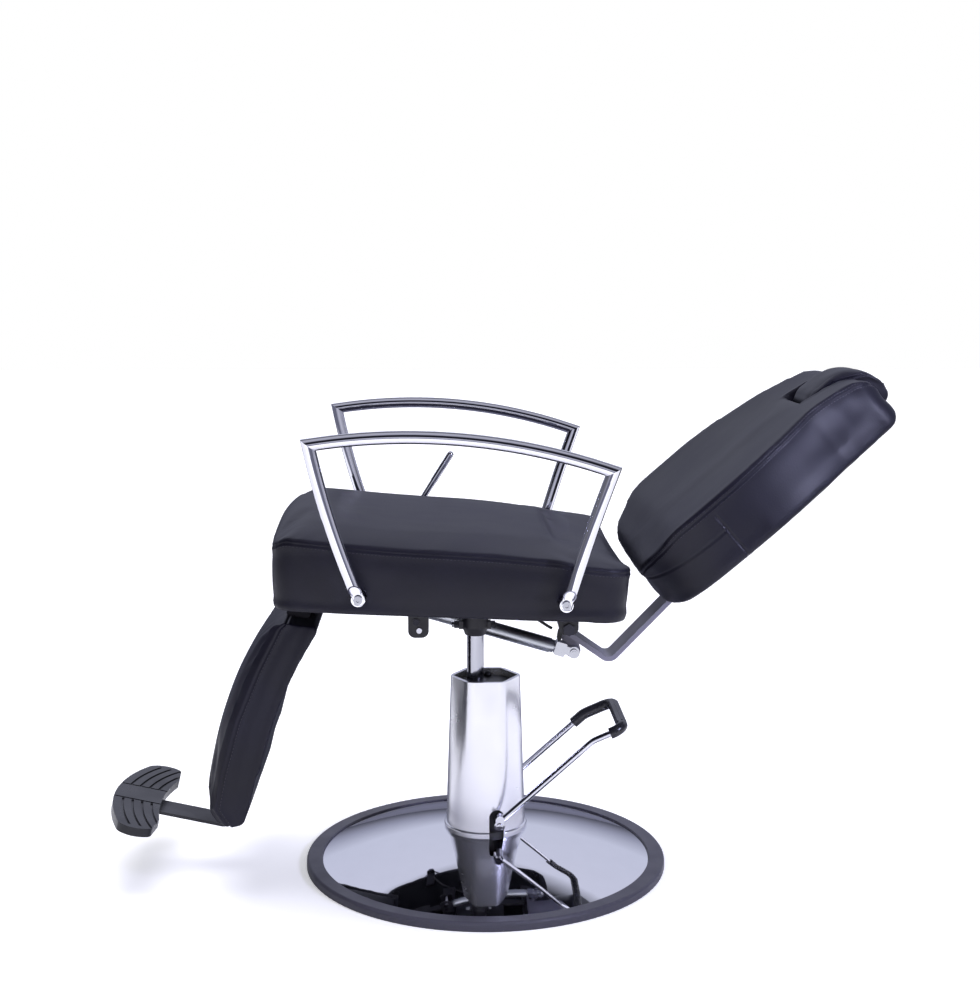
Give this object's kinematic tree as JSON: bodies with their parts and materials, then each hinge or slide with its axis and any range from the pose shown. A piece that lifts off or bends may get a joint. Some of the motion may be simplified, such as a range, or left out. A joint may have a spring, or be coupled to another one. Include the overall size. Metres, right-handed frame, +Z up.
{
  "type": "hydraulic barber chair",
  "caption": "Reclining hydraulic barber chair with a round base, pump pedal, tube arms, padded back with headrest, leg rest and ribbed foot plate.",
  "frame": {"origin": "centre of the round base on the floor", "axes": "+Z up, the sitter faces -Y, +X to the sitter's left"},
  "size_m": [0.6772, 1.2699, 0.8306],
  "materials": {
    "chrome": "polished",
    "trim_rubber": "matt",
    "tread_rubber": "moulded",
    "black_leather": "grained",
    "black_paint": "satin powder coat",
    "black_plastic": "moulded",
    "steel": "machined",
    "casting": "as cast",
    "plywood": "plain",
    "covered_board": "black cloth",
    "gas_tube": "satin",
    "guide_plastic": "moulded"
  },
  "bodies": {
    "base": {"base_disc": "chrome", "base_trim_ring": "trim_rubber", "base_floor_plate": "black_paint", "column_cover": "chrome", "pump_base": "casting", "reservoir_tube": "steel", "lift_cylinder": "steel", "pump_cap": "black_plastic", "rod_wiper": "trim_rubber", "filler_plug": "black_plastic", "pump_bolts": "steel", "plunger_spring": "steel"},
    "pedal": {"pedal_shaft": "steel", "pedal_rods": "chrome", "pedal_grip": "tread_rubber", "pedal_hubs": "chrome", "pedal_screws": "chrome"},
    "plunger": {"pump_plunger": "steel"},
    "lift": {"piston_head": "steel", "piston_seal": "trim_rubber"},
    "seat": {"piston_rod": "chrome", "mount_socket": "black_paint", "socket_bolt": "chrome", "mount_plate": "black_paint", "mount_bolts": "steel", "seat_chassis": "black_paint", "seat_board": "covered_board", "arm_rails": "steel", "seat_cushion": "black_leather", "arm_left": "chrome", "arm_right": "chrome", "arm_spacers": "chrome", "arm_bolts": "chrome", "front_bracket": "black_paint", "front_bracket_pins": "chrome", "hinge_bracket": "black_paint", "hinge_pin": "chrome", "legrest_bracket": "black_paint", "legrest_pad": "black_leather", "legrest_back_panel": "black_leather", "legrest_board": "plywood", "legrest_bolts": "steel", "foot_bar": "black_paint", "foot_plate": "tread_rubber", "foot_plate_screws": "chrome", "lever_bracket": "black_paint", "release_cable": "black_plastic"},
    "back": {"back_bar": "black_paint", "back_bolts": "steel", "back_rear_panel": "covered_board", "back_cushion": "black_leather", "headrest_guides": "guide_plastic", "gas_rear_pin": "chrome"},
    "headrest": {"headrest_pad": "black_leather", "headrest_posts": "steel"},
    "gas_cylinder": {"gas_cylinder": "gas_tube"},
    "gas_head": {"gas_rod": "steel", "release_head": "chrome"},
    "tab": {"release_tab": "black_plastic"},
    "lever": {"recline_lever": "chrome"}
  },
  "joints": [
    {"name": "pedal", "type": "hinge", "parent": "base", "child": "pedal", "pos_m": [0, 0.02, 0.088], "axis": [1, 0, 0], "range_deg": [-28, 0], "stiffness_Nm_per_rad": 3, "springref_deg": 20.05},
    {"name": "plunger", "type": "slide", "parent": "base", "child": "plunger", "axis": [0, 0, 1], "range_m": [-0.0089, 0], "deforming": ["plunger_spring"]},
    {"name": "lift", "type": "slide", "parent": "base", "child": "lift", "axis": [0, 0, 1], "range_m": [-0.04, 0.1]},
    {"name": "swivel", "type": "hinge", "parent": "lift", "child": "seat", "pos_m": [0, -0.017, 0.44], "axis": [0, 0, 1], "continuous": true},
    {"name": "recline", "type": "hinge", "parent": "seat", "child": "back", "pos_m": [0, 0.133, 0.409], "axis": [1, 0, 0], "range_deg": [0, 36]},
    {"name": "gas_cylinder_swing", "type": "hinge", "parent": "seat", "child": "gas_cylinder", "pos_m": [-0.04, -0.115, 0.4257], "axis": [1, 0, 0], "range_deg": [0, 5.8]},
    {"name": "gas_head_swing", "type": "hinge", "parent": "back", "child": "gas_head", "pos_m": [-0.04, 0.15, 0.3475], "axis": [1, 0, 0], "range_deg": [-30.6, 0]},
    {"name": "release_tab", "type": "hinge", "parent": "gas_head", "child": "tab", "pos_m": [-0.04, 0.12547, 0.37142], "axis": [1, 0, 0], "range_deg": [0, 12.5]},
    {"name": "recline_lever", "type": "hinge", "parent": "seat", "child": "lever", "pos_m": [-0.297, -0.175, 0.465], "axis": [1, 0, 0], "range_deg": [-15, 0], "stiffness_Nm_per_rad": 1.5, "springref_deg": 14.32},
    {"name": "headrest", "type": "slide", "parent": "back", "child": "headrest", "axis": [0, 0.7547, 0.6561], "range_m": [0, 0.09]}
  ],
  "couplings": [
    {"joint": "plunger", "follows": "pedal", "m_per_rad": 0.018},
    {"joint": "gas_cylinder_swing", "follows": "recline", "ratio": 0.158},
    {"joint": "gas_head_swing", "follows": "recline", "ratio": -0.842},
    {"joint": "release_tab", "follows": "recline_lever", "ratio": -0.8}
  ]
}
